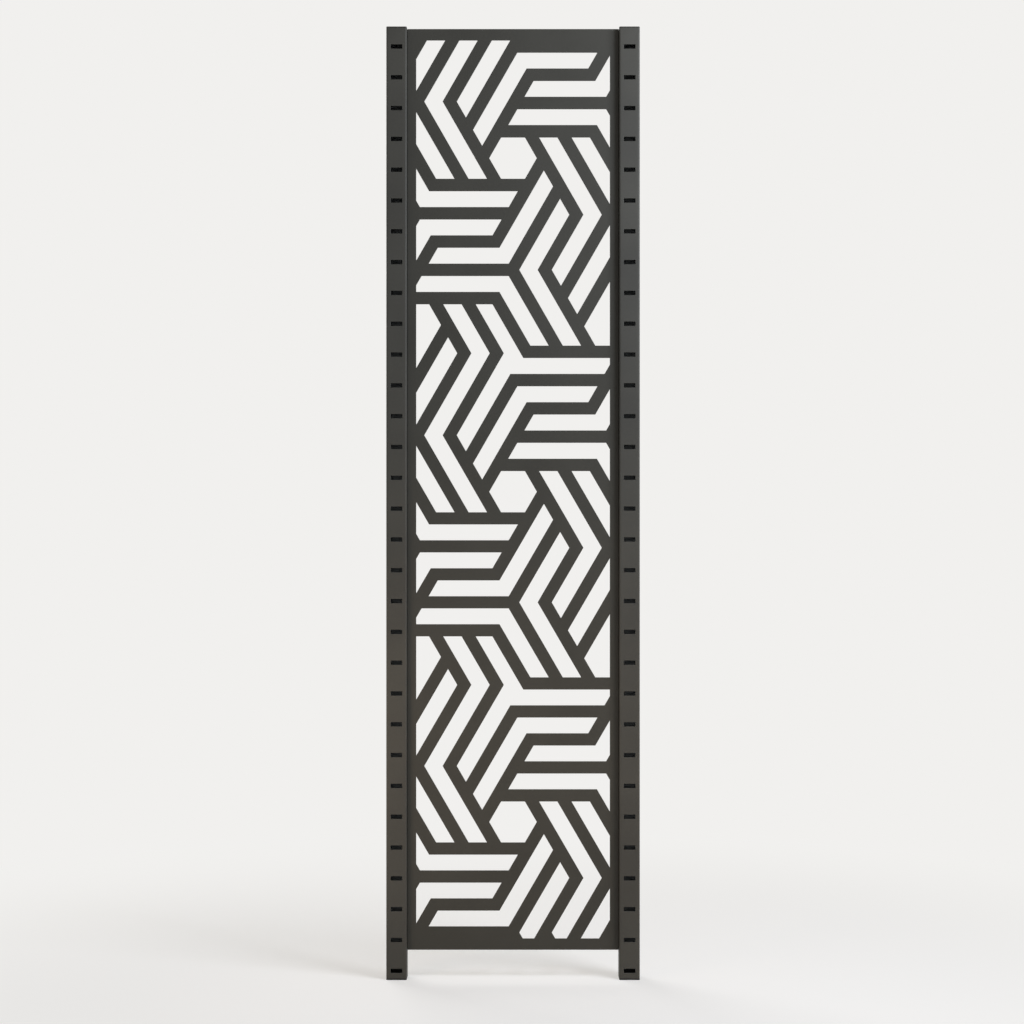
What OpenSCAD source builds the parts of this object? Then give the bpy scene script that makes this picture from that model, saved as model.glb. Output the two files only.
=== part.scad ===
// Laser cut metal screen: a sheet cut to a lattice and stiffened by two flat bars welded behind its
// side edges, screwed through those bars between two slotted posts of square tube.
// The front faces -Y and the height runs along +Z. The origin lies on the floor, midway between the
// posts and midway in their depth. Sizes are in millimetres.

/* [Posts] */
// Length of each post's tube
post_l = 1852; // [900:1:2400]
// Outer side of the square tube
post_w = 40; // [36:1:60]
// Wall of the tube
post_wall = 2; // [1.5:0.5:3]
// Outer radius of the tube's four corners
post_corner_r = 3; // [2.5:0.5:5]
// Clear width between the two posts
clear_w = 414; // [300:1:700]

/* [Post slots] */
// Width of a slot
slot_w = 22.5; // [12:0.5:26]
// Height of a slot
slot_h = 8.5; // [5:0.5:12]
// Spacing of the slots along the post
slot_pitch = 60; // [40:1:90]
// Height of the top slot's centre below the tube's upper end
slot_top = 37; // [30:1:50]
// Least height of the lowest slot's centre above the tube's lower end
slot_end = 14; // [10:1:60]

/* [Panel] */
// Height of the panel
panel_h = 1800; // [700:1:1830]
// Thickness of the sheet
sheet_t = 3; // [2:0.5:4]
// Width of the flat bars behind the sheet's side edges
edge_bar_w = 22; // [18:1:25]
// Thickness of those bars
edge_bar_t = 3; // [2:0.5:5]
// How far the panel's face lies behind the front of the posts
panel_recess = 14; // [2:1:16]
// How far the panel's top lies below the top of the caps
panel_drop = 1; // [0:0.5:20]

/* [Lattice] */
// Width of the bars
bar_w = 24; // [12:1:36]
// Spacing of neighbouring parallel bars
bar_pitch = 55; // [45:1:65]
// Spacing of the two parallel bars beside a hexagon
hexagon_pitch = 104.5; // [80:0.5:130]
// Plain margin at each side of the lattice
side_margin = 17.2; // [10:0.1:30]
// Plain margin above and below the lattice
end_margin = 22; // [15:1:40]
// How far the middle hexagon lies below the panel's middle
middle_drop = 4.6; // [0:0.1:8]

/* [Welds] */
// Length of a weld between the sheet and a bar
weld_l = 30; // [15:1:60]
// Leg of a weld
weld_leg = 3; // [2:0.5:4]
// Rough spacing of the welds
weld_pitch = 180; // [100:5:300]
// Height of the end welds' middles from the panel's ends
weld_end = 25; // [20:1:60]

/* [Top caps] */
// Thickness of the cap's flange
cap_flange_t = 2; // [1.5:0.5:4]
// Depth of the cap's plug in the tube
cap_plug_l = 20; // [12:1:26]

/* [Feet] */
// Thickness of the foot's flange
foot_flange_t = 3; // [2:0.5:6]
// Height of the foot's plug in the tube
foot_plug_l = 10; // [8:0.5:20]

/* [Tube plugs] */
// Wall of a plug
plug_wall = 2; // [1.5:0.5:3]
// How far a plug's fins stand out from its wall
plug_fin = 1.5; // [1:0.25:3]
// Thickness of a fin
plug_fin_t = 1; // [0.8:0.1:1.5]
// Spacing of the fins
plug_fin_pitch = 4; // [3:0.5:6]
// Gap between a fin and the tube
plug_gap = 0.1; // [0.05:0.05:0.3]

/* [Fixings] */
// Fixings on each side
fixing_count = 5; // [2:1:8]
// Rough height of the end fixings from the panel's ends
fixing_end = 60; // [40:1:120]
// Thread diameter of the screws
screw_d = 6; // [4:1:6]
// Length of the screws under the head
screw_l = 16; // [14:1:20]
// Head diameter of the screws
screw_head_d = 10.5; // [8:0.5:11]
// Head height of the screws
screw_head_h = 3.3; // [2:0.1:4]
// Hexagon socket of the screws, across flats
screw_socket = 4; // [2.5:0.5:5]
// Depth of the hexagon socket
screw_socket_depth = 2; // [1.5:0.1:2.5]
// Outer diameter of the washers
washer_d = 12; // [10:0.5:14]
// Thickness of the washers
washer_t = 1.6; // [1:0.1:2]
// Gap round a screw in its washer and in its rivet nut
screw_gap = 0.1; // [0.05:0.05:0.2]
// Gap round a screw in the bars' holes
bar_hole_gap = 0.3; // [0.2:0.1:0.5]
// Rim diameter of the rivet nuts
nut_rim_d = 11; // [10.5:0.5:14]
// Rim thickness of the rivet nuts, which spaces the panel from the post
nut_rim_t = 0.5; // [0.3:0.1:1.5]
// Body diameter of the rivet nuts
nut_body_d = 9; // [8:0.5:10]
// Length of the rivet nuts' bodies behind the rim
nut_body_l = 15; // [12:0.5:18]
// Diameter of the rivet nuts' bulge behind the tube wall
nut_bulge_d = 12; // [10.5:0.5:13]
// Length of that bulge
nut_bulge_l = 4; // [2:0.5:5]

/* [Hidden] */
$fn = 64;
// How far a cut runs past the face it leaves by
OVERCUT = 1;
// Least radius of the tube's inner corners
LEAST_BORE_R = 0.5;
// Width of a button head's flat top, as a share of the head's diameter
HEAD_TOP_SHARE = 0.6;
POWDER_COAT = "#46453f";
BLACK_PLASTIC = "#1d1d1c";
ZINC = "#a9abaa";

// Heights of the pieces on the floor
tube_bottom = foot_flange_t;
tube_top = tube_bottom + post_l;
panel_top = tube_top + cap_flange_t - panel_drop;
panel_bottom = panel_top - panel_h;
panel_mid = (panel_top + panel_bottom) / 2;

// Places across the width and the depth
post_x = (clear_w + post_w) / 2;
panel_w = clear_w - 2 * nut_rim_t;
face_y = panel_recess - post_w / 2;
back_y = face_y + sheet_t;
bar_inner_x = panel_w / 2 - edge_bar_t;
fixing_y = back_y + edge_bar_w / 2;
bore_w = post_w - 2 * post_wall;
bore_corner_r = max(LEAST_BORE_R, post_corner_r - post_wall);

// Slots
slot_count = floor((post_l - slot_top - slot_end) / slot_pitch) + 1;
function slot_z(i) = tube_top - slot_top - (i - 1) * slot_pitch;

// A fixing lies midway between two slots, at the place nearest to an even share of the panel
fixing_step = (panel_h - 2 * fixing_end) / (fixing_count - 1);
function between_slots(z) = slot_z(1) - (round((slot_z(1) - z) / slot_pitch - 0.5) + 0.5) * slot_pitch;
function fixing_z(i) = between_slots(panel_bottom + fixing_end + (i - 1) * fixing_step);

// Welds, spread evenly between the end welds
weld_gaps = ceil((panel_h - 2 * weld_end) / weld_pitch);
function weld_z(i) = panel_bottom + weld_end + i * (panel_h - 2 * weld_end) / weld_gaps;

FIXINGS = [1:fixing_count];

// ---------------------------------------------------------------- lattice
// The bars' centre lines run in three directions: level, rising to the right and falling to the
// right. A line is [direction of its normal, distance from the hexagon's centre]. Lines of each
// direction lie in rings round the hexagon: ring 1 is the hexagon's own side, and each further ring
// lies one bar spacing out. Steps are counted from the hexagon's centre instead.
window_w = panel_w - 2 * side_margin;
window_h = panel_h - 2 * end_margin;
LEVEL = -90;
RISE = -30;
FALL = 30;
row_pitch = 2 * (4 * bar_pitch + hexagon_pitch);
function ring(k) = sign(k) * (hexagon_pitch / 2 + (abs(k) - 1) * bar_pitch);
function level(k) = [LEVEL, ring(k)];
function rise(k) = [RISE, ring(k)];
function fall(k) = [FALL, ring(k)];
function rise_step(k) = [RISE, k * bar_pitch];
function fall_step(k) = [FALL, k * bar_pitch];
// The nearest rings of the next hexagon, one row below (1) or above (-1)
next_ring = row_pitch - ring(5);
function next_level(way) = [LEVEL, way * next_ring];
function next_rise(way) = [RISE, way * next_ring];

// Each bar starts on its first line, follows the lines between and ends on its last line
BARS = [
    [rise(-1), level(-1), fall(3), level(2)],
    [level(-1), fall(1), rise(3), fall_step(-1), next_level(1)],
    [level(-1), fall(2), rise(4), fall_step(-1)],
    [fall(3), rise(5), fall_step(-1)],
    [fall(1), rise(1), level(3), rise(-1), level(5)],
    [fall(1), rise(2), level(4), rise(-1)],
    [rise(2), fall_step(-2), next_level(1)],
    [rise(-1), level(5), fall_step(-3), next_level(1), next_rise(1)],
    [rise(1), level(1), fall(-3), level(-2)],
    [rise(1), level(2), fall(-4), level(-1)],
    [fall(-4), rise_step(-2), level(4)],
    [level(1), fall(-1), rise(-3), fall(2), next_level(-1)],
    [level(1), fall(-2), rise(-4), fall(1), next_level(-1)],
    [fall(1), rise(-5), fall(-3)],
    [fall(-1), rise(-2), level(-4), rise(1)],
    [fall(-1), rise(-1), level(-3), rise(1), level(-5)],
    [rise(-1), level(-2), fall(4), level(1)],
    [fall(4), rise_step(2), level(-4)]
];
// Rows of hexagons that reach the window, counted from the panel's middle
row_reach = ceil(window_h / 2 / row_pitch + 0.5);
last_row = floor(window_h / 2 / row_pitch);

// Where two lines cross
function meet(a, b) = [
    (a[1] * sin(b[0]) - b[1] * sin(a[0])) / sin(b[0] - a[0]),
    (b[1] * cos(a[0]) - a[1] * cos(b[0])) / sin(b[0] - a[0])
];
function route(lines) = [for (i = [1:len(lines) - 1]) meet(lines[i - 1], lines[i])];
function unit(v) = v / norm(v);
function across(a, b) = let (d = unit(b - a)) [-d[1], d[0]];

// The outline of a bar of width bar_w along a route, mitred at its corners
function bar_outline(path) =
    let (
        last = len(path) - 1,
        normals = [for (i = [1:last]) across(path[i - 1], path[i])],
        mitres = [for (i = [0:last])
            let (a = normals[max(i - 1, 0)], b = normals[min(i, last - 1)])
            bar_w / 2 * (a + b) / (1 + a * b)]
    )
    concat(
        [for (i = [0:last]) path[i] + mitres[i]],
        [for (i = [last:-1:0]) path[i] - mitres[i]]
    );

// A point of a row's lattice at its place in the panel. The even lattice is eased downwards: most at
// the middle hexagon, less above and below it, and not at all at the margins.
function in_panel(point, row) =
    let (z = point[1] + row * row_pitch)
    [point[0], z - middle_drop * (1 - abs(z) / (window_h / 2))];

module bar(lines, row) {
    polygon([for (point = bar_outline(route(lines))) in_panel(point, row)]);
}

module bars() {
    for (row = [-row_reach:row_reach]) {
        for (lines = BARS) bar(lines, row);
    }
    // Below the last hexagon, one bar runs straight on into the margin
    bar([fall(1), rise(3), level(5)], -last_row);
}

// The openings, drawn flat with the panel's centre as origin
module openings() {
    difference() {
        square([window_w, window_h], center = true);
        bars();
    }
}

// ---------------------------------------------------------------- shared shapes
module rounded_square(w, r) {
    square([w - 2 * r, w], center = true);
    square([w, w - 2 * r], center = true);
    for (x = [-1, 1], y = [-1, 1]) translate([x, y] * (w / 2 - r)) circle(r);
}

// Mirrors a piece of the right side to the left
module on_left() {
    mirror([1, 0, 0]) children();
}

// Puts a round piece at a fixing, with its axis pointing from the panel into the right post
module at_fixing(i, x) {
    translate([x, fixing_y, fixing_z(i)]) rotate([0, 90, 0]) children();
}

// ---------------------------------------------------------------- panel
module screen_panel() {
    color(POWDER_COAT) difference() {
        translate([-panel_w / 2, face_y, panel_bottom]) cube([panel_w, sheet_t, panel_h]);
        translate([0, back_y + OVERCUT, panel_mid])
            rotate([90, 0, 0]) linear_extrude(sheet_t + 2 * OVERCUT) openings();
    }
}

// A flat bar on edge behind the sheet, with the screws' holes
module edge_bar() {
    color(POWDER_COAT) difference() {
        translate([bar_inner_x, back_y, panel_bottom]) cube([edge_bar_t, edge_bar_w, panel_h]);
        for (i = FIXINGS) {
            at_fixing(i, bar_inner_x - OVERCUT)
                cylinder(d = screw_d + 2 * bar_hole_gap, h = edge_bar_t + 2 * OVERCUT);
        }
    }
}

// Short fillet welds in the corner between the sheet's back and the bar's inner face
module welds() {
    color(POWDER_COAT) for (i = [0:weld_gaps]) {
        translate([bar_inner_x, back_y, weld_z(i) - weld_l / 2])
            linear_extrude(weld_l) polygon([[0, 0], [0, weld_leg], [-weld_leg, 0]]);
    }
}

module left_edge_bar() { on_left() edge_bar(); }
module right_edge_bar() { edge_bar(); }
module left_welds() { on_left() welds(); }
module right_welds() { welds(); }

// ---------------------------------------------------------------- posts
// A tube with slots in its front wall and the rivet nuts' holes in its inner wall
module post() {
    color(POWDER_COAT) difference() {
        translate([post_x, 0, tube_bottom]) linear_extrude(post_l) difference() {
            rounded_square(post_w, post_corner_r);
            rounded_square(bore_w, bore_corner_r);
        }
        for (i = [1:slot_count]) {
            translate([post_x, -post_w / 2, slot_z(i)])
                cube([slot_w, 2 * (post_wall + OVERCUT), slot_h], center = true);
        }
        for (i = FIXINGS) {
            at_fixing(i, clear_w / 2 - OVERCUT) cylinder(d = nut_body_d, h = post_wall + 2 * OVERCUT);
        }
    }
}

module left_post() { on_left() post(); }
module right_post() { post(); }

// ---------------------------------------------------------------- tube plugs
// A hollow plug that points up into a tube, with fins that grip the tube's walls
module tube_plug(length) {
    fin_w = bore_w - 2 * plug_gap;
    wall_w = fin_w - 2 * plug_fin;
    fin_r = bore_corner_r;
    fin_count = floor((length - plug_fin_t) / plug_fin_pitch);
    difference() {
        union() {
            translate([0, 0, length / 2]) cube([wall_w, wall_w, length], center = true);
            for (i = [1:fin_count]) {
                translate([0, 0, i * plug_fin_pitch]) linear_extrude(plug_fin_t) rounded_square(fin_w, fin_r);
            }
        }
        translate([0, 0, length / 2 + OVERCUT / 2])
            cube([wall_w - 2 * plug_wall, wall_w - 2 * plug_wall, length + OVERCUT], center = true);
    }
}

module flanged_plug(flange_t, length) {
    linear_extrude(flange_t) rounded_square(post_w, post_corner_r);
    translate([0, 0, flange_t]) tube_plug(length);
}

module top_cap() {
    color(POWDER_COAT) translate([post_x, 0, tube_top + cap_flange_t])
        mirror([0, 0, 1]) flanged_plug(cap_flange_t, cap_plug_l);
}

module foot() {
    color(BLACK_PLASTIC) translate([post_x, 0, 0]) flanged_plug(foot_flange_t, foot_plug_l);
}

module left_top_cap() { on_left() top_cap(); }
module right_top_cap() { top_cap(); }
module left_foot() { on_left() foot(); }
module right_foot() { foot(); }

// ---------------------------------------------------------------- fixings
// Rim outside the tube, body through its wall, bulge that grips the wall from inside
module rivet_nut(i) {
    color(ZINC) at_fixing(i, clear_w / 2) difference() {
        union() {
            translate([0, 0, -nut_rim_t]) cylinder(d = nut_rim_d, h = nut_rim_t);
            cylinder(d = nut_body_d, h = nut_body_l);
            translate([0, 0, post_wall]) cylinder(d = nut_bulge_d, h = nut_bulge_l);
        }
        translate([0, 0, -nut_rim_t - OVERCUT])
            cylinder(d = screw_d + 2 * screw_gap, h = nut_rim_t + nut_body_l + 2 * OVERCUT);
    }
}

module washer(i) {
    color(ZINC) at_fixing(i, bar_inner_x - washer_t) difference() {
        cylinder(d = washer_d, h = washer_t);
        translate([0, 0, -OVERCUT]) cylinder(d = screw_d + 2 * screw_gap, h = washer_t + 2 * OVERCUT);
    }
}

// The button head is a slice of a ball, from the seat's full width to the flat top
module screw(i) {
    base_r = screw_head_d / 2;
    top_r = HEAD_TOP_SHARE * base_r;
    ball_drop = (base_r * base_r - top_r * top_r - screw_head_h * screw_head_h) / (2 * screw_head_h);
    ball_r = sqrt(ball_drop * ball_drop + base_r * base_r);
    color(ZINC) at_fixing(i, bar_inner_x - washer_t) {
        cylinder(d = screw_d, h = screw_l);
        difference() {
            intersection() {
                translate([0, 0, ball_drop]) sphere(ball_r);
                translate([0, 0, -screw_head_h]) cylinder(r = base_r, h = screw_head_h);
            }
            translate([0, 0, -screw_head_h - OVERCUT])
                cylinder(d = screw_socket / cos(30), h = screw_socket_depth + OVERCUT, $fn = 6);
        }
    }
}

// ---------------------------------------------------------------- the part
screen_panel();
left_edge_bar();
right_edge_bar();
left_welds();
right_welds();
left_post();
right_post();
left_top_cap();
right_top_cap();
left_foot();
right_foot();
for (i = FIXINGS) {
    on_left() rivet_nut(i);
    rivet_nut(i);
    on_left() washer(i);
    washer(i);
    on_left() screw(i);
    screw(i);
}
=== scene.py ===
"""The looks of a laser cut metal screen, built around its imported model.

The front faces -Y, the height runs along +Z and every length is in metres. The cut sheet, its edge
bars, the two slotted posts, their caps and their feet keep the model's own shape, and get the
rounded edges that powder coat and moulds leave. The welds, screws, washers and rivet nuts are
worked out again, as the rippled, headed, pressed and knurled parts that they are.
"""

import math

import bmesh
import bpy
import numpy as np
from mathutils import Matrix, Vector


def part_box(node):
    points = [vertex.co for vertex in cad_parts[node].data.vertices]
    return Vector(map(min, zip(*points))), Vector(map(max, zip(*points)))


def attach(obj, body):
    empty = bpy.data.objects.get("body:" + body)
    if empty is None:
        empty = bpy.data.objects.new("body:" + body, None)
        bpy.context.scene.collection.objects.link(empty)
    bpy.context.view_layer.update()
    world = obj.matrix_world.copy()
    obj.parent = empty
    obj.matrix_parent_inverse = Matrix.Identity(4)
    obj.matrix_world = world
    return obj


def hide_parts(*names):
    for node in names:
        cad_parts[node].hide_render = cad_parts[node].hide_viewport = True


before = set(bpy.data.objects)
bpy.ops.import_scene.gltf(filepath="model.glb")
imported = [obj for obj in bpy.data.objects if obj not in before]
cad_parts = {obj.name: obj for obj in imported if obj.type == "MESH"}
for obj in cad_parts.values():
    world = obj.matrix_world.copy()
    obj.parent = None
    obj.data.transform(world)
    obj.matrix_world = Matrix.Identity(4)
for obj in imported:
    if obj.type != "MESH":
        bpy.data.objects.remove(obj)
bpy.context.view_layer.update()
MM = 0.001
FULL_TURN = 2 * math.pi
BODY = "root"


# ---------------------------------------------------------------- colours and nodes
def linear(hex_colour):
    """The linear RGBA that a shader holds for an sRGB hex colour, by the curve of that standard."""
    srgb = np.array([int(hex_colour[i:i + 2], 16) for i in (1, 3, 5)]) / 255
    light = np.where(srgb <= 0.04045, srgb / 12.92, ((srgb + 0.055) / 1.055) ** 2.4)
    return (*light.tolist(), 1.0)


def add(tree, kind, inputs=None, **settings):
    """Adds a node of one kind. settings are the node's own choices. Each input is a value to set on
    that socket, or another node's output to link to it."""
    node = tree.nodes.new("ShaderNode" + kind)
    for name, choice in settings.items():
        setattr(node, name, choice)
    for socket, source in (inputs or {}).items():
        if isinstance(source, bpy.types.NodeSocket):
            tree.links.new(source, node.inputs[socket])
        else:
            node.inputs[socket].default_value = source
    return node


# Sockets of a Mix node, which repeats its sockets' names for each kind of data
MIX_FACTOR = 0
NUMBER_FROM, NUMBER_TO, NUMBER_RESULT = 2, 3, 0
COLOUR_FROM, COLOUR_TO, COLOUR_RESULT = 6, 7, 2


def new_material(name):
    """An empty material, its tree, and the place on the piece in metres, from the piece's own
    coordinates."""
    material = bpy.data.materials.new(name)
    material.use_nodes = True
    tree = material.node_tree
    tree.nodes.clear()
    return material, tree, add(tree, "TexCoord").outputs["Object"]


# ---------------------------------------------------------------- finishes
# A noise texture keeps between these two over most of a surface
NOISE_LOW, NOISE_HIGH = 0.3, 0.7

# The coat's tone drifts over a hand's width, where the sprayed film is thicker or thinner
COAT_DRIFT = 150 * MM
# The fine texture's grains are about 0.5 mm wide, which is too fine to show a step away, so they
# are drawn this coarse
COAT_GRAIN = 4 * MM
COAT_GRAIN_HEIGHT = 0.05 * MM
# How much of the tone the grain makes, and how far the drift and the grain together reach
GRAIN_SHARE = 0.25
TONE_LOW, TONE_HIGH = 0.36, 0.64
COAT_GLOSS_SWING = 0.05
# Orange peel of the baked film, 3 to 6 mm wide on the real coat, drawn a little coarser
ORANGE_PEEL = 9 * MM
ORANGE_PEEL_HEIGHT = 0.05 * MM
# Striations that the laser leaves across a cut edge, about 0.3 mm apart, drawn this coarse. They
# run straight through the metal, along Y, where the pattern is drawn out to this length
STRIATION = 1.6 * MM
STRIATION_RUN = 40 * MM
STRIATION_HEIGHT = 0.08 * MM


def powder_coat(name, thick, thin, roughness, cut=False):
    """Matt polyester powder coat on steel, sprayed and baked. The eye sees an even dark olive grey
    that drifts a little in tone, a soft broad gloss, faint orange peel and a fine grain. A laser
    cut edge also shows the striations of the cut through the film. thick and thin are the tones of
    the film where it is so."""
    material, tree, place = new_material(name)
    drift = add(tree, "TexNoise", {"Vector": place, "Scale": 1 / COAT_DRIFT, "Detail": 2.0})
    grain = add(tree, "TexNoise", {"Vector": place, "Scale": 1 / COAT_GRAIN, "Detail": 2.0})
    speckled = add(tree, "Mix", {
        MIX_FACTOR: GRAIN_SHARE,
        NUMBER_FROM: drift.outputs["Fac"],
        NUMBER_TO: grain.outputs["Fac"],
    }, data_type="FLOAT")
    film = add(tree, "MapRange", {
        "Value": speckled.outputs[NUMBER_RESULT],
        "From Min": TONE_LOW,
        "From Max": TONE_HIGH,
    })
    tone = add(tree, "Mix", {
        MIX_FACTOR: film.outputs["Result"],
        COLOUR_FROM: linear(thick),
        COLOUR_TO: linear(thin),
    }, data_type="RGBA")
    gloss = add(tree, "MapRange", {
        "Value": grain.outputs["Fac"],
        "From Min": NOISE_LOW,
        "From Max": NOISE_HIGH,
        "To Min": roughness - COAT_GLOSS_SWING,
        "To Max": roughness + COAT_GLOSS_SWING,
    })
    peel = add(tree, "TexNoise", {"Vector": place, "Scale": 1 / ORANGE_PEEL, "Detail": 1.0})
    relief = add(tree, "Bump", {"Height": peel.outputs["Fac"], "Distance": ORANGE_PEEL_HEIGHT})
    relief = add(tree, "Bump", {
        "Height": grain.outputs["Fac"],
        "Distance": COAT_GRAIN_HEIGHT,
        "Normal": relief.outputs["Normal"],
    })
    if cut:
        across = add(tree, "Mapping", {
            "Vector": place,
            "Scale": (1 / STRIATION, 1 / STRIATION_RUN, 1 / STRIATION),
        })
        lines = add(tree, "TexNoise", {
            "Vector": across.outputs["Vector"],
            "Scale": 1.0,
            "Detail": 1.0,
        })
        relief = add(tree, "Bump", {
            "Height": lines.outputs["Fac"],
            "Distance": STRIATION_HEIGHT,
            "Normal": relief.outputs["Normal"],
        })
    shader = add(tree, "BsdfPrincipled", {
        "Base Color": tone.outputs[COLOUR_RESULT],
        "Roughness": gloss.outputs["Result"],
        "Normal": relief.outputs["Normal"],
        "IOR": 1.5,
        "Specular IOR Level": 0.3,
    })
    add(tree, "OutputMaterial", {"Surface": shader.outputs["BSDF"]})
    return material


# The panel's sheet and the posts' tubes are coated apart, and the tubes come out a shade lighter.
# On every arris the coat is paler and glossier, partly where the film is thin and rubbed, and
# partly as a painted highlight along the edge
PANEL_COAT = powder_coat("matt_powder_coat_sheet", "#34332e", "#3a3934", 0.56)
PANEL_CUT_COAT = powder_coat("matt_powder_coat_cut_edge", "#33322e", "#3a3934", 0.56, cut=True)
PANEL_ARRIS_WEAR_AND_HIGHLIGHT = powder_coat("matt_powder_coat_sheet_arris_wear_and_painted_highlight", "#403f3a", "#484741", 0.48)
POST_COAT = powder_coat("matt_powder_coat_tube", "#3a3935", "#42413c", 0.54)
POST_CUT_COAT = powder_coat("matt_powder_coat_slot_edge", "#33322e", "#3a3934", 0.56, cut=True)
POST_ARRIS_WEAR_AND_HIGHLIGHT = powder_coat("matt_powder_coat_tube_arris_wear_and_painted_highlight", "#454440", "#4d4c47", 0.46)


# The width of one crystal of the hot dip zinc
SPANGLE = 9 * MM


def galvanised_steel(name, dark, light, roughness):
    """Hot dip galvanised strip inside a welded tube, where no powder reaches. The zinc has gone
    dull in the air. The eye sees a mid grey metal, broken into spangles of slightly different
    tones, from dark to light."""
    material, tree, place = new_material(name)
    spangle = add(tree, "TexVoronoi", {"Vector": place, "Scale": 1 / SPANGLE})
    tone = add(tree, "Mix", {
        MIX_FACTOR: spangle.outputs["Color"],
        COLOUR_FROM: linear(dark),
        COLOUR_TO: linear(light),
    }, data_type="RGBA")
    shader = add(tree, "BsdfPrincipled", {
        "Base Color": tone.outputs[COLOUR_RESULT],
        "Metallic": 1.0,
        "Roughness": roughness,
    })
    add(tree, "OutputMaterial", {"Surface": shader.outputs["BSDF"]})
    return material


BORE_ZINC = galvanised_steel("galvanised_steel_in_tube", "#6c7072", "#808384", 0.6)


# Patches where the mould has rubbed the plastic smooth
RUBBED_PATCH = 14 * MM
# The grain of a spark eroded mould is about 0.1 mm wide, drawn this coarse
MOULD_GRAIN = 2 * MM
MOULD_GRAIN_HEIGHT = 0.04 * MM
MOULD_GLOSS_SWING = 0.06


def moulded_plastic(name, tone, pale, roughness):
    """A thermoplastic moulded against a spark eroded steel mould. The eye sees one even colour with
    a fine frosted grain, a shade paler where the mould has rubbed, and a dull, even gloss."""
    material, tree, place = new_material(name)
    rubbed = add(tree, "TexNoise", {"Vector": place, "Scale": 1 / RUBBED_PATCH, "Detail": 3.0})
    colour = add(tree, "Mix", {
        MIX_FACTOR: rubbed.outputs["Fac"],
        COLOUR_FROM: linear(tone),
        COLOUR_TO: linear(pale),
    }, data_type="RGBA")
    frost = add(tree, "TexNoise", {"Vector": place, "Scale": 1 / MOULD_GRAIN, "Detail": 2.0})
    gloss = add(tree, "MapRange", {
        "Value": frost.outputs["Fac"],
        "From Min": NOISE_LOW,
        "From Max": NOISE_HIGH,
        "To Min": roughness - MOULD_GLOSS_SWING,
        "To Max": roughness + MOULD_GLOSS_SWING,
    })
    relief = add(tree, "Bump", {"Height": frost.outputs["Fac"], "Distance": MOULD_GRAIN_HEIGHT})
    shader = add(tree, "BsdfPrincipled", {
        "Base Color": colour.outputs[COLOUR_RESULT],
        "Roughness": gloss.outputs["Result"],
        "Normal": relief.outputs["Normal"],
        "IOR": 1.49,
        "Specular IOR Level": 0.35,
    })
    add(tree, "OutputMaterial", {"Surface": shader.outputs["BSDF"]})
    return material


CAP_PLASTIC = moulded_plastic("grained_polypropylene", "#2b2a27", "#33322e", 0.5)
FOOT_PLASTIC = moulded_plastic("grained_black_polyamide", "#0f0f0f", "#171716", 0.45)


# Clouds of blue and straw in the clear passivate. Either is full where the noise has left its
# middle by this reach
ZINC_CLOUD = 5 * MM
CLOUD_MIDDLE = 0.5
CLOUD_REACH = 0.25
# Dents from the tumbling barrel, about 0.3 mm wide, drawn this coarse
TUMBLED_DENT = 0.9 * MM
TUMBLED_DEPTH = 0.01 * MM
ZINC_GLOSS_SWING = 0.08


def zinc_plate(name, silver, blue, straw, roughness):
    """Zinc, barrel plated on steel and passivated clear. The eye sees a cool silver with a faint
    cloud of blue and straw, and a satin gloss from the tumbling."""
    material, tree, place = new_material(name)
    cloud = add(tree, "TexNoise", {"Vector": place, "Scale": 1 / ZINC_CLOUD, "Detail": 1.0})
    cool = add(tree, "MapRange", {
        "Value": cloud.outputs["Fac"],
        "From Min": CLOUD_MIDDLE,
        "From Max": CLOUD_MIDDLE + CLOUD_REACH,
    })
    warm = add(tree, "MapRange", {
        "Value": cloud.outputs["Fac"],
        "From Min": CLOUD_MIDDLE,
        "From Max": CLOUD_MIDDLE - CLOUD_REACH,
    })
    cooled = add(tree, "Mix", {
        MIX_FACTOR: cool.outputs["Result"],
        COLOUR_FROM: linear(silver),
        COLOUR_TO: linear(blue),
    }, data_type="RGBA")
    tinted = add(tree, "Mix", {
        MIX_FACTOR: warm.outputs["Result"],
        COLOUR_FROM: cooled.outputs[COLOUR_RESULT],
        COLOUR_TO: linear(straw),
    }, data_type="RGBA")
    dents = add(tree, "TexNoise", {"Vector": place, "Scale": 1 / TUMBLED_DENT, "Detail": 2.0})
    gloss = add(tree, "MapRange", {
        "Value": dents.outputs["Fac"],
        "From Min": NOISE_LOW,
        "From Max": NOISE_HIGH,
        "To Min": roughness - ZINC_GLOSS_SWING,
        "To Max": roughness + ZINC_GLOSS_SWING,
    })
    relief = add(tree, "Bump", {"Height": dents.outputs["Fac"], "Distance": TUMBLED_DEPTH})
    shader = add(tree, "BsdfPrincipled", {
        "Base Color": tinted.outputs[COLOUR_RESULT],
        "Metallic": 1.0,
        "Roughness": gloss.outputs["Result"],
        "Normal": relief.outputs["Normal"],
    })
    add(tree, "OutputMaterial", {"Surface": shader.outputs["BSDF"]})
    return material


SCREW_ZINC = zinc_plate("bright_zinc_screw", "#bfc1c2", "#b2bac4", "#c6c2b0", 0.3)
PRESSED_ZINC = zinc_plate("satin_zinc_pressing", "#b3b5b5", "#a8b0b8", "#bbb7a6", 0.38)


# ---------------------------------------------------------------- how a piece is finished
SHARP_ANGLE = math.radians(30)


def dress(piece, materials, choice=0):
    """Gives a piece its materials, and each face the one that choice numbers. Shades it smooth, but
    for edges where two faces meet at more than SHARP_ANGLE."""
    mesh = piece.data
    for material in materials:
        mesh.materials.append(material)
    numbers = np.broadcast_to(choice, len(mesh.polygons)).astype(np.int32)
    mesh.polygons.foreach_set("material_index", numbers)
    mesh.polygons.foreach_set("use_smooth", np.ones(len(mesh.polygons), bool))
    mesh.set_sharp_from_angle(angle=SHARP_ANGLE)


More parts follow.
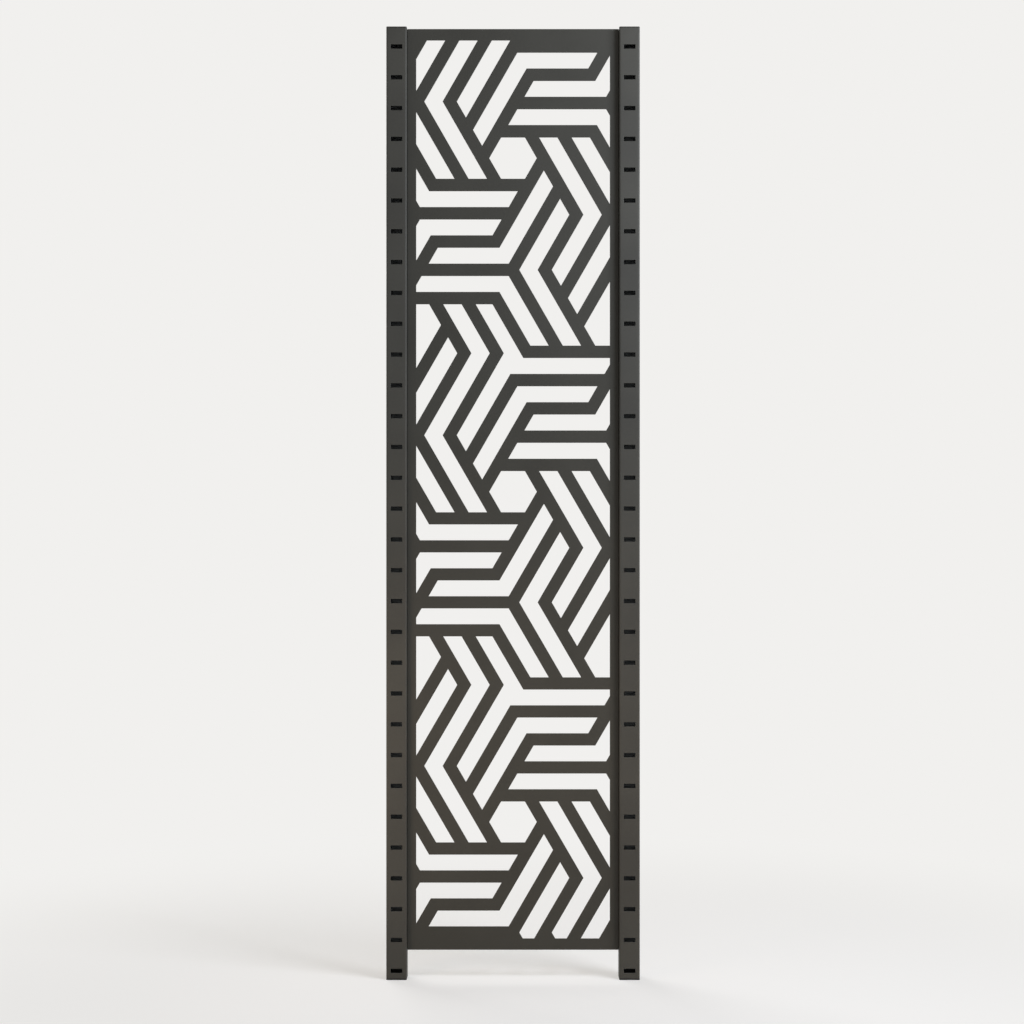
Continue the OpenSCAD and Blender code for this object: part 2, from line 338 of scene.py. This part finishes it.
def round_edges(piece, radius, coat=None):
    """Rounds every sharp edge to about the radius, in two steps, and keeps the flats flat. The
    rounded strips get the coat, which is one of the piece's own, or else what lies beside them."""
    bevel = piece.modifiers.new("rounded_edges", "BEVEL")
    bevel.width = radius
    bevel.segments = 2
    bevel.limit_method = "ANGLE"
    bevel.angle_limit = SHARP_ANGLE
    bevel.use_clamp_overlap = False
    bevel.loop_slide = False
    bevel.harden_normals = True
    bevel.material = piece.data.materials.find(coat.name) if coat else -1


def hand_over(piece, node):
    """Hands a finished piece over: it rides on the one body and stands for its node."""
    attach(piece, BODY)
    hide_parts(node)


# ---------------------------------------------------------------- pieces in the model's own shape
# Two places closer than this are one place
SAME_PLACE = 0.001 * MM
# Two faces are one flat where they meet at less than this, in radians
FLAT_ANGLE = 0.01


def merged_copy(node, name):
    """A new object with a copy of a node's mesh, its loose triangles joined and its flats whole.
    The triangles' own normals and UV map no longer fit, so they go."""
    build = bmesh.new()
    build.from_mesh(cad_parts[node].data)
    bmesh.ops.remove_doubles(build, verts=build.verts, dist=SAME_PLACE)
    bmesh.ops.dissolve_limit(build, angle_limit=FLAT_ANGLE, verts=build.verts, edges=build.edges)
    mesh = bpy.data.meshes.new(name)
    build.to_mesh(mesh)
    build.free()
    mesh.materials.clear()
    spare = [
        attribute.name for attribute in mesh.attributes
        if attribute.name == "custom_normal" or attribute.name.startswith("UV")
    ]
    for old in spare:
        mesh.attributes.remove(mesh.attributes[old])
    piece = bpy.data.objects.new(name, mesh)
    bpy.context.scene.collection.objects.link(piece)
    return piece


def faces_of(mesh):
    """Each face's centre and normal, as two arrays."""
    centres, normals = np.empty((2, len(mesh.polygons), 3), np.float32)
    mesh.polygons.foreach_get("center", centres.ravel())
    mesh.polygons.foreach_get("normal", normals.ravel())
    return centres, normals


# The rounding that powder coat leaves on a cut or drawn edge
ARRIS = 0.5 * MM
# A face of the sheet is cut where its normal has less than this of its length along Y
CUT_FACE = 0.1


def cut_panel():
    """The flat sheet: coat on its faces, the cut's striations in its openings and on its edges."""
    piece = merged_copy("screen_panel", "powder_coated_panel")
    cut = np.abs(faces_of(piece.data)[1][:, 1]) < CUT_FACE
    dress(piece, (PANEL_COAT, PANEL_CUT_COAT, PANEL_ARRIS_WEAR_AND_HIGHLIGHT), cut)
    # The rounded arrises take the paler arris coat: thin rubbed film, and a painted highlight along
    # every edge
    round_edges(piece, ARRIS, PANEL_ARRIS_WEAR_AND_HIGHLIGHT)
    hand_over(piece, "screen_panel")


# Hot rolled flat bar has rounder edges than a cut sheet
BAR_ARRIS = 0.8 * MM


def edge_bar(side):
    """A flat bar on edge behind the sheet, coated with it."""
    node = side + "_edge_bar"
    piece = merged_copy(node, "powder_coated_" + node)
    dress(piece, (PANEL_COAT, PANEL_ARRIS_WEAR_AND_HIGHLIGHT))
    # The rounded arrises take the paler arris coat: thin rubbed film, and a painted highlight along
    # every edge
    round_edges(piece, BAR_ARRIS, PANEL_ARRIS_WEAR_AND_HIGHLIGHT)
    hand_over(piece, node)


TUBE_WALL = 2 * MM
# A normal is level with less than this of its length upwards, and square with more than this of it
# along X or Y
LEVEL = 0.01
SQUARE = 0.999


def slotted_post(side):
    """A square tube: coat outside and on its rounded corners, the cut's striations in its slots and
    on its ends, bare zinc inside."""
    node = side + "_post"
    piece = merged_copy(node, "powder_coated_" + node)
    low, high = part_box(node)
    half = (high.x - low.x) / 2
    axis = np.array(low + high)[:2] / 2
    centres, normals = faces_of(piece.data)
    from_axis = np.abs(centres[:, :2] - axis).max(axis=1)
    bore = from_axis < half - TUBE_WALL + SAME_PLACE
    outside = from_axis > half - SAME_PLACE
    level = np.abs(normals[:, 2]) < LEVEL
    corner = level & (np.abs(normals[:, :2]).max(axis=1) < SQUARE)
    materials = (POST_COAT, POST_CUT_COAT, POST_ARRIS_WEAR_AND_HIGHLIGHT, BORE_ZINC)
    choice = np.select(
        [bore, outside | corner],
        [materials.index(BORE_ZINC), materials.index(POST_COAT)],
        materials.index(POST_CUT_COAT),
    )
    dress(piece, materials, choice)
    # The rounded arrises take the paler arris coat: thin rubbed film, and a painted highlight along
    # every edge
    round_edges(piece, ARRIS, POST_ARRIS_WEAR_AND_HIGHLIGHT)
    hand_over(piece, node)


# The plugs' fins are 1 mm thick, so each of a fin's edges is rounded by less than half of that
CAP_ROUNDING = 0.45 * MM
FOOT_ROUNDING = 0.4 * MM


def moulded_plug(node, material, radius):
    """A tube plug of plastic, with the rounded edges that the mould gives it."""
    piece = merged_copy(node, "moulded_" + node)
    dress(piece, (material,))
    round_edges(piece, radius)
    hand_over(piece, node)


# ---------------------------------------------------------------- pieces worked out again
def skin_faces(count, size, closed):
    """The quads that join each of count rings of size points to the next, and a ring's last point
    to its first. closed says that the last ring is joined to the first too, as on a washer."""
    index = np.arange(count * size).reshape(count, size)
    if closed:
        index = np.concatenate([index, index[:1]])
    beside = np.roll(index, -1, axis=1)
    return np.stack([index[:-1], beside[:-1], beside[1:], index[1:]], axis=-1).reshape(-1, 4)


def end_fans(count, size):
    """The triangles that close the first and the last ring at two poles, which are the next two
    points after all the rings'."""
    start_pole = count * size
    end_pole = start_pole + 1
    ring = np.arange(size)
    beside = np.roll(ring, -1)
    last = (count - 1) * size
    start = np.stack([np.full(size, start_pole), beside, ring], axis=-1)
    end = np.stack([np.full(size, end_pole), last + ring, last + beside], axis=-1)
    return np.concatenate([start, end])


def new_piece(name, points, faces):
    """An object in the scene with a mesh of these points and faces, at the origin."""
    mesh = bpy.data.meshes.new(name)
    mesh.from_pydata(points, [], faces)
    piece = bpy.data.objects.new(name, mesh)
    bpy.context.scene.collection.objects.link(piece)
    return piece


def closed_skin(name, rings, poles=None):
    """A closed mesh over rings of points, an array of (rings, points, 3). With poles, (start, end),
    a fan of triangles closes each end at that point. Without, the last ring is joined to the
    first."""
    count, size = rings.shape[:2]
    points = rings.reshape(-1, 3)
    faces = skin_faces(count, size, poles is None).tolist()
    if poles is not None:
        faces += end_fans(count, size).tolist()
        points = np.concatenate([points, poles])
    return new_piece(name, points, faces)


WELD_RIPPLE = 1.8 * MM
WELD_RIPPLE_HEIGHT = 0.16 * MM
# How far a ripple's middle bows, in ripples
WELD_BOW = 0.8
WELD_ROWS_A_RIPPLE = 5
WELD_CROWN = 0.45 * MM
# How far a bead's first ring lies up its rounded end, so that the ring isn't a point
WELD_FIRST_RING = 0.05 * MM
WELD_FACE = np.linspace(0, 1, 9)


def fillet_weld(length, leg):
    """Rings of points across one fillet weld, which lies in the corner of the planes x = 0 and
    y = 0, from z = 0 to its length. A ring's points go across the face from toe to toe, and its
    last is at the root. The face is a straight line, raised by a parabola as high as the crown.
    Along the weld the legs swell as a quarter circle does at each end, and the face rises and falls
    as a cosine, in ripples that bow where the metal froze last."""
    rows = int(length / WELD_RIPPLE * WELD_ROWS_A_RIPPLE)
    run = np.linspace(0, 1, rows)[:, None] * length
    from_end = np.minimum(run, length - run) + WELD_FIRST_RING
    swell = np.sqrt(1 - (1 - from_end / leg).clip(0) ** 2)
    bow = 4 * WELD_FACE * (1 - WELD_FACE)
    ripple = np.cos(FULL_TURN * (run / WELD_RIPPLE + WELD_BOW * bow))
    lift = swell * bow * (WELD_CROWN + WELD_RIPPLE_HEIGHT * ripple) / math.sqrt(2)
    root = np.zeros_like(run)
    across = np.concatenate([swell * leg * (1 - WELD_FACE) + lift, root], axis=1)
    out = np.concatenate([swell * leg * WELD_FACE + lift, root], axis=1)
    return np.stack([across, out, np.broadcast_to(run, across.shape)], axis=-1)


def weld_beads(side):
    """Fillet welds in the corner between the sheet's back and a bar, one wherever the model has
    one, between the same two heights. A fan of triangles round the middle of each end ring closes
    a weld."""
    node = side + "_welds"
    low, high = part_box(node)
    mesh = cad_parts[node].data
    places = np.empty((len(mesh.vertices), 3), np.float32)
    mesh.vertices.foreach_get("co", places.ravel())
    # Each weld's two heights, to a micrometre
    runs = np.unique(places[:, 2].round(6)).reshape(-1, 2)
    rings = fillet_weld(runs[0, 1] - runs[0, 0], high.x - low.x)
    count, size = rings.shape[:2]
    quads = skin_faces(count, size, False)
    fans = end_fans(count, size)
    if side == "right":
        rings = rings * (-1, 1, 1) + (high.x, low.y, 0)
        quads, fans = quads[:, ::-1], fans[:, ::-1]
    else:
        rings = rings + (low.x, low.y, 0)
    one = np.concatenate([rings.reshape(-1, 3), rings[[0, -1]].mean(axis=1)])
    starts = np.arange(len(runs))[:, None, None] * len(one)
    points = (one + runs[:, :1, None] * (0, 0, 1)).reshape(-1, 3)
    faces = (quads + starts).reshape(-1, 4).tolist() + (fans + starts).reshape(-1, 3).tolist()
    piece = new_piece("powder_coated_" + node, points, faces)
    dress(piece, (PANEL_COAT,))
    hand_over(piece, node)


def rings_round_axis(along, radius, angles):
    """Rings round the X axis: ring i lies at along[i], and at each angle it is radius[i] from the
    axis. Each is one number a ring, or one for every point."""
    along, radius, angles = np.broadcast_arrays(along, radius, angles)
    return np.stack([along, radius * np.cos(angles), radius * np.sin(angles)], axis=-1)


def turned_profile(profile, angles):
    """Rings round the X axis from a profile, a list of (along, radius), turned round it."""
    profile = np.array(profile)
    return rings_round_axis(profile[:, :1], profile[:, 1:], angles)


def arc(centre, size, start, end, steps):
    """Points of a rounded corner in the (along, radius) plane: a circle of that size round its
    centre, from one angle in degrees to another, measured from along to radius."""
    turn = np.radians(np.linspace(start, end, steps))
    return np.stack([centre[0] + size * np.cos(turn), centre[1] + size * np.sin(turn)], axis=-1)


def thread_depth(along, angles, pitch, depth):
    """How far a screw thread's surface lies below its crest. It is a triangle wave along the axis
    that moves on by one pitch in a turn, so that it winds as one helix."""
    phase = (along / pitch - angles / FULL_TURN) % 1.0
    return depth * np.abs(2 * phase - 1)


def fixing_ends(node):
    """How far from the screen's middle a fixing's node begins, and how far it ends."""
    low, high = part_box(node)
    return min(abs(low.x), abs(high.x)), max(abs(low.x), abs(high.x))


def fixing_radius(node):
    """The radius of a round fixing, from its node's height."""
    low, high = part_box(node)
    return (high.z - low.z) / 2


def set_at_fixing(points, node, side):
    """Moves points from the X axis to a fixing's own. The left side's parts are the right's, turned
    half round about the vertical, so that a thread keeps its hand."""
    low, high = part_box(node)
    way = 1 if side == "right" else -1
    return points * (way, way, 1) + (0, (low.y + high.y) / 2, (low.z + high.z) / 2)


ROUND_STEPS = 48
ANGLES = np.arange(ROUND_STEPS) * FULL_TURN / ROUND_STEPS
# A fixing's parts are never turned alike: each is turned on by this much from the last
TURN_ON = math.radians(137.5)
SCREW_R = 3 * MM
SCREW_PITCH = 1 * MM
SCREW_THREAD_DEPTH = 0.61 * MM
THREAD_ROWS_A_PITCH = 8
# The hexagon socket: half its width across the flats, its depth, the cone that the drill leaves
# under it, and the break of its rim
SOCKET_HALF = 2 * MM
SOCKET_DEPTH = 2 * MM
DRILL_POINT = 0.5 * MM
SOCKET_BREAK = 0.15 * MM
# The head's flat top, as a share of its width, and the part of its height that the dome takes up
HEAD_TOP_SHARE = 0.6
DOME_START, DOME_END, DOME_ROWS = 0.02, 0.93, 9
# The breaks and roundings of the head. A corner is the middle point of a rounding, given by how far
# it lies from the seat and from the rim or the neck
TOP_BREAK = 0.1 * MM
RIM_ROUNDING = 0.2 * MM
RIM_CORNER = (0.08 * MM, 0.02 * MM)
NECK_FILLET = 0.3 * MM
NECK_CORNER = (0.1 * MM, 0.08 * MM)
# The plain neck, and the chamfer of the tip: its length, its slope and its depth at the end
NECK = 1 * MM
TIP_CHAMFER = 0.9 * MM
TIP_SLOPE = 0.8
TIP_DEPTH = 0.8 * MM


def button_screw(side, i):
    """A button head screw, cold headed and rolled: a hexagon socket with a drilled bottom, a domed
    head, a short plain neck and a thread down to a chamfered tip. Its rings run from the socket's
    bottom out over the rim, round the head and along the thread to the tip."""
    node = f"{side}_screw_{i}"
    top, tip = fixing_ends(node)
    seat = fixing_ends(f"{side}_washer_{i}")[0]
    head_r = fixing_radius(node)
    head_h = seat - top
    turned = ANGLES + i * TURN_ON
    # The socket's wall: the distance to a hexagon's nearest flat, seen at each angle
    sixth = math.pi / 3
    hexagon = SOCKET_HALF / np.cos((ANGLES + sixth / 2) % sixth - sixth / 2)
    rim_r = SOCKET_HALF / math.cos(sixth / 2) + SOCKET_BREAK
    socket_along = np.array([SOCKET_DEPTH, SOCKET_DEPTH, SOCKET_BREAK, 0])[:, None] + top
    socket_r = np.stack([hexagon / 2, hexagon, hexagon, np.full(ROUND_STEPS, rim_r)])
    # The dome: a ball's slice from the flat top to the head's full width
    flat_r = HEAD_TOP_SHARE * head_r
    ball_drop = (head_r ** 2 - flat_r ** 2 - head_h ** 2) / (2 * head_h)
    ball_r = math.hypot(ball_drop, head_r)
    dome_along = np.linspace(DOME_START, DOME_END, DOME_ROWS) * head_h
    dome_r = np.sqrt(ball_r ** 2 - (head_h + ball_drop - dome_along) ** 2)
    head = [
        (top, flat_r - TOP_BREAK),
        *zip(top + dome_along, dome_r),
        (seat - RIM_CORNER[0], head_r - RIM_CORNER[1]),
        (seat, head_r - RIM_ROUNDING),
        (seat, SCREW_R + NECK_FILLET),
        (seat + NECK_CORNER[0], SCREW_R + NECK_CORNER[1]),
        (seat + NECK_FILLET, SCREW_R),
    ]
    # The thread deepens over its first pitch, and a cone cuts it down at the tip
    along = np.arange(seat + NECK, tip, SCREW_PITCH / THREAD_ROWS_A_PITCH)[:, None]
    deepening = np.clip((along - seat - NECK) / SCREW_PITCH, 0, 1)
    thread = deepening * thread_depth(along, ANGLES, SCREW_PITCH, SCREW_THREAD_DEPTH)
    cone = np.clip((along - (tip - TIP_CHAMFER)) * TIP_SLOPE, 0, None)
    rings = np.concatenate([
        rings_round_axis(socket_along, socket_r, turned),
        turned_profile(head, turned),
        rings_round_axis(along, SCREW_R - np.maximum(thread, cone), turned),
        turned_profile([(tip, SCREW_R - TIP_DEPTH)], turned),
    ])
    poles = np.array([(top + SOCKET_DEPTH + DRILL_POINT, 0, 0), (tip, 0, 0)])
    piece = closed_skin(
        f"button_screw_{side}_{i}",
        set_at_fixing(rings, node, side),
        set_at_fixing(poles, node, side),
    )
    dress(piece, (SCREW_ZINC,))
    hand_over(piece, node)


SCREW_CLEARANCE = 0.1 * MM
HOLE_R = SCREW_R + SCREW_CLEARANCE
WASHER_ROLL = 0.4 * MM
WASHER_CRISP = 0.1 * MM


def pressed_washer(side, i):
    """A stamped washer: the die has rolled its rim over on the face towards the head, and its other
    edges stay crisp. Its profile is a rectangle with a quarter circle at each corner, turned round
    the axis and joined to itself."""
    node = f"{side}_washer_{i}"
    near, far = fixing_ends(node)
    outer = fixing_radius(node)
    profile = np.concatenate([
        arc((near + WASHER_CRISP, HOLE_R + WASHER_CRISP), WASHER_CRISP, 270, 180, 4),
        arc((near + WASHER_ROLL, outer - WASHER_ROLL), WASHER_ROLL, 180, 90, 7),
        arc((far - WASHER_CRISP, outer - WASHER_CRISP), WASHER_CRISP, 90, 0, 4),
        arc((far - WASHER_CRISP, HOLE_R + WASHER_CRISP), WASHER_CRISP, 0, -90, 4),
    ])
    rings = turned_profile(profile, ANGLES)
    piece = closed_skin(f"pressed_washer_{side}_{i}", set_at_fixing(rings, node, side))
    dress(piece, (PRESSED_ZINC,))
    hand_over(piece, node)


NUT_BODY_R = 4.5 * MM
NUT_RIM_ROUNDING = 0.2 * MM
NUT_END_CHAMFER = 0.5 * MM
NUT_MOUTH_CHAMFER = 0.4 * MM
NUT_BODY_ROWS = 61
KNURLS = 24
KNURL_DEPTH = 0.18 * MM
KNURL_STEPS = 96
KNURL_ANGLES = np.arange(KNURL_STEPS) * FULL_TURN / KNURL_STEPS
# The bulge: its radius at its middle, and its length behind the tube's wall
BULGE_R = 6 * MM
BULGE = 4 * MM
NUT_THREAD_DEPTH = 0.25 * MM
NUT_BORE_ROWS = 97
# How far past the bulge the nut's thread starts, and the length over which it deepens
NUT_THREAD_START = 3 * MM
NUT_THREAD_RUN_IN = 1 * MM


def rivet_nut(side, i):
    """A blind rivet nut as it is once set: a flat rim, a knurled body through the tube's wall, the
    bulge that the pull has folded up behind the wall, and a threaded end. Its rings run over the
    rim, along the body and back through the bore. The body's radius has a rib for each period of a
    cosine round it, and half an ellipse is added along the bulge."""
    node = f"{side}_rivet_nut_{i}"
    start, end = fixing_ends(node)
    rim_r = fixing_radius(node)
    wall_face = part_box("right_post")[0].x
    turned = KNURL_ANGLES + i * TURN_ON
    rounding = NUT_RIM_ROUNDING
    rim = np.concatenate([
        arc((start + rounding, HOLE_R + rounding), rounding, 270, 180, 3),
        arc((start + rounding, rim_r - rounding), rounding, 180, 90, 4),
        arc((wall_face - rounding, rim_r - rounding), rounding, 90, 0, 4),
    ])
    body_along = np.linspace(wall_face, end - NUT_END_CHAMFER, NUT_BODY_ROWS)[:, None]
    along_bulge = (body_along - wall_face - TUBE_WALL) / BULGE
    swell = np.sqrt(np.clip(1 - (2 * along_bulge - 1) ** 2, 0, 1))
    rib = (0.5 + 0.5 * np.cos(KNURLS * KNURL_ANGLES)) * (1 - swell)
    body_r = NUT_BODY_R - KNURL_DEPTH * rib + swell * (BULGE_R - NUT_BODY_R)
    end_face = [(end, NUT_BODY_R - NUT_END_CHAMFER), (end, HOLE_R + NUT_MOUTH_CHAMFER)]
    bore_along = np.linspace(end - NUT_MOUTH_CHAMFER, start + rounding, NUT_BORE_ROWS)[1:-1, None]
    thread_start = start + BULGE + NUT_THREAD_START
    deepening = np.clip((bore_along - thread_start) / NUT_THREAD_RUN_IN, 0, 1)
    ridge = thread_depth(bore_along, KNURL_ANGLES, SCREW_PITCH, NUT_THREAD_DEPTH)
    bore_r = HOLE_R + deepening * (NUT_THREAD_DEPTH - ridge)
    rings = np.concatenate([
        turned_profile(rim, turned),
        rings_round_axis(body_along, body_r, turned),
        turned_profile(end_face, turned),
        rings_round_axis(bore_along, bore_r, turned),
    ])
    piece = closed_skin(f"rivet_nut_{side}_{i}", set_at_fixing(rings, node, side))
    dress(piece, (PRESSED_ZINC,))
    hand_over(piece, node)


# ---------------------------------------------------------------- the stage
# The photograph's own view: level, a little left of the middle, from just under half the height
CAMERA_PLACE = (-0.002, -3.62, 0.818)
CAMERA_LENS = 65
CAMERA_SENSOR = 36
PHOTO_SIZE = 1024
# The horizon's row in the photograph, which the picture is shifted to
HORIZON_ROW = 560


def camera():
    """A level camera at the photograph's place, with no depth of field."""
    data = bpy.data.cameras.new("camera")
    data.lens = CAMERA_LENS
    data.sensor_width = CAMERA_SENSOR
    data.shift_y = (HORIZON_ROW - PHOTO_SIZE / 2) / PHOTO_SIZE
    view = bpy.data.objects.new("camera", data)
    view.location = CAMERA_PLACE
    view.rotation_euler = (math.radians(90), 0, 0)
    bpy.context.scene.collection.objects.link(view)
    bpy.context.scene.camera = view


def shown(tree):
    """1 for a ray by which the eye sees a surface, straight, in a gloss or through glass, and 0 for
    a ray that only gathers light."""
    path = add(tree, "LightPath")
    seen = add(tree, "Math", {
        0: path.outputs["Is Camera Ray"],
        1: path.outputs["Is Glossy Ray"],
    }, operation="MAXIMUM")
    return add(tree, "Math", {
        0: seen.outputs["Value"],
        1: path.outputs["Is Transmission Ray"],
    }, operation="MAXIMUM").outputs["Value"]


# The room as the eye sees it, and the light that it gives
PALE_ROOM = "#f1f0ee"
ROOM_TINT = "#fff9f1"
ROOM_LIGHT = 0.33


def room():
    """The air around: pale to the eye, and weaker as light on the object."""
    world = bpy.data.worlds.new("pale_room")
    world.use_nodes = True
    tree = world.node_tree
    tree.nodes.clear()
    light = add(tree, "Background", {"Color": linear(ROOM_TINT), "Strength": ROOM_LIGHT})
    pale = add(tree, "Background", {"Color": linear(PALE_ROOM), "Strength": 1.0})
    both = add(tree, "MixShader", {
        0: shown(tree),
        1: light.outputs["Background"],
        2: pale.outputs["Background"],
    })
    add(tree, "OutputWorld", {"Surface": both.outputs["Shader"]})
    bpy.context.scene.world = world


# The floor as the eye sees it, and the duller tone with which it throws light back at the object
PALE_FLOOR = "#fbfaf8"
FLOOR_BOUNCE = "#d0cfcd"
FLOOR_RADIUS = 16.0
FLOOR_RINGS = 24
FLOOR_SIDES = 72
# The innermost ring, as a share of the way out before it is squared
FLOOR_INNER = 0.02
# The distances between which the floor turns into the room, and the room's share up to the first
FADE_START = 0.3
FADE_END = 1.9
NEAR_SHARE = 0.45


def floor():
    """A pale level disc, in rings that widen by the square. Its colour is the floor's near the
    object, where it keeps the shadow, and turns into the room's colour with the distance."""
    radii = FLOOR_RADIUS * np.linspace(FLOOR_INNER, 1, FLOOR_RINGS)[:, None] ** 2
    angles = np.linspace(0, FULL_TURN, FLOOR_SIDES, endpoint=False)
    rings = np.stack([
        radii * np.cos(angles),
        radii * np.sin(angles),
        np.zeros((FLOOR_RINGS, FLOOR_SIDES)),
    ], axis=-1)
    quads = skin_faces(FLOOR_RINGS, FLOOR_SIDES, False)[:, ::-1].tolist()
    disc = new_piece("floor", rings.reshape(-1, 3), [*quads, list(range(FLOOR_SIDES))])

    material, tree, place = new_material("pale_floor")
    eye = shown(tree)
    colour = add(tree, "Mix", {
        MIX_FACTOR: eye,
        COLOUR_FROM: linear(FLOOR_BOUNCE),
        COLOUR_TO: linear(PALE_FLOOR),
    }, data_type="RGBA")
    lit = add(tree, "BsdfDiffuse", {"Color": colour.outputs[COLOUR_RESULT]})
    distance = add(tree, "VectorMath", {0: place}, operation="LENGTH")
    fade = add(tree, "MapRange", {
        "Value": distance.outputs["Value"],
        "From Min": FADE_START,
        "From Max": FADE_END,
        "To Min": NEAR_SHARE,
    }, interpolation_type="SMOOTHSTEP")
    share = add(tree, "Math", {0: fade.outputs["Result"], 1: eye}, operation="MULTIPLY")
    far = add(tree, "Emission", {"Color": linear(PALE_ROOM), "Strength": 1.0})
    both = add(tree, "MixShader", {
        0: share.outputs["Value"],
        1: lit.outputs["BSDF"],
        2: far.outputs["Emission"],
    })
    add(tree, "OutputMaterial", {"Surface": both.outputs["Shader"]})
    disc.data.materials.append(material)


def soft_box(name, place, aim, size, power, colour, spread=180):
    """A soft rectangular light of a (width, height) at a place, turned towards a point, its beam as
    wide as spread in degrees. The camera doesn't see it."""
    data = bpy.data.lights.new(name, "AREA")
    data.shape = "RECTANGLE"
    data.size, data.size_y = size
    data.spread = math.radians(spread)
    data.energy = power
    data.color = linear(colour)[:3]
    lamp = bpy.data.objects.new(name, data)
    lamp.location = place
    away = np.array(place) - np.array(aim)
    tilt = math.atan2(math.hypot(away[0], away[1]), away[2])
    lamp.rotation_euler = (tilt, 0, math.atan2(away[1], away[0]) + math.pi / 2)
    lamp.visible_camera = False
    bpy.context.scene.collection.objects.link(lamp)


COOL_DAYLIGHT = "#ecf3ff"
WARM_BOUNCE = "#ffe2c4"
WHITE = "#ffffff"
# Narrow enough that the fills light the posts and leave the floor before them alone
FILL_SPREAD = 60


def lights():
    """A broad cool light from the right, in front and above, two weak warm fills low down in front,
    and a broad one from behind, which lights the floor."""
    soft_box(
        "key", place=(1.28, -1.0, 1.9), aim=(0.2, 0, 1.4), size=(0.9, 0.9),
        power=35.5, colour=COOL_DAYLIGHT,
    )
    soft_box(
        "left_fill", place=(-0.9, -0.9, 0.46), aim=(-0.2, 0, 0.43), size=(0.5, 0.5),
        power=0.75, colour=WARM_BOUNCE, spread=FILL_SPREAD,
    )
    soft_box(
        "right_fill", place=(1.2, -1.0, 0.4), aim=(0.2, 0, 0.36), size=(0.6, 0.6),
        power=0.65, colour=WARM_BOUNCE, spread=FILL_SPREAD,
    )
    soft_box(
        "back", place=(-1.8, 3.0, 2.4), aim=(0, 0, 1.0), size=(2.2, 1.8),
        power=63, colour=WHITE,
    )


# ---------------------------------------------------------------- the whole scene
camera()
room()
lights()
floor()
cut_panel()
for side in ("left", "right"):
    edge_bar(side)
    weld_beads(side)
    slotted_post(side)
    moulded_plug(side + "_top_cap", CAP_PLASTIC, CAP_ROUNDING)
    moulded_plug(side + "_foot", FOOT_PLASTIC, FOOT_ROUNDING)
    fixings = sum(name.startswith(side + "_screw_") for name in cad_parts)
    for i in range(1, fixings + 1):
        button_screw(side, i)
        pressed_washer(side, i)
        rivet_nut(side, i)

bpy.context.scene.view_settings.view_transform = "Standard"
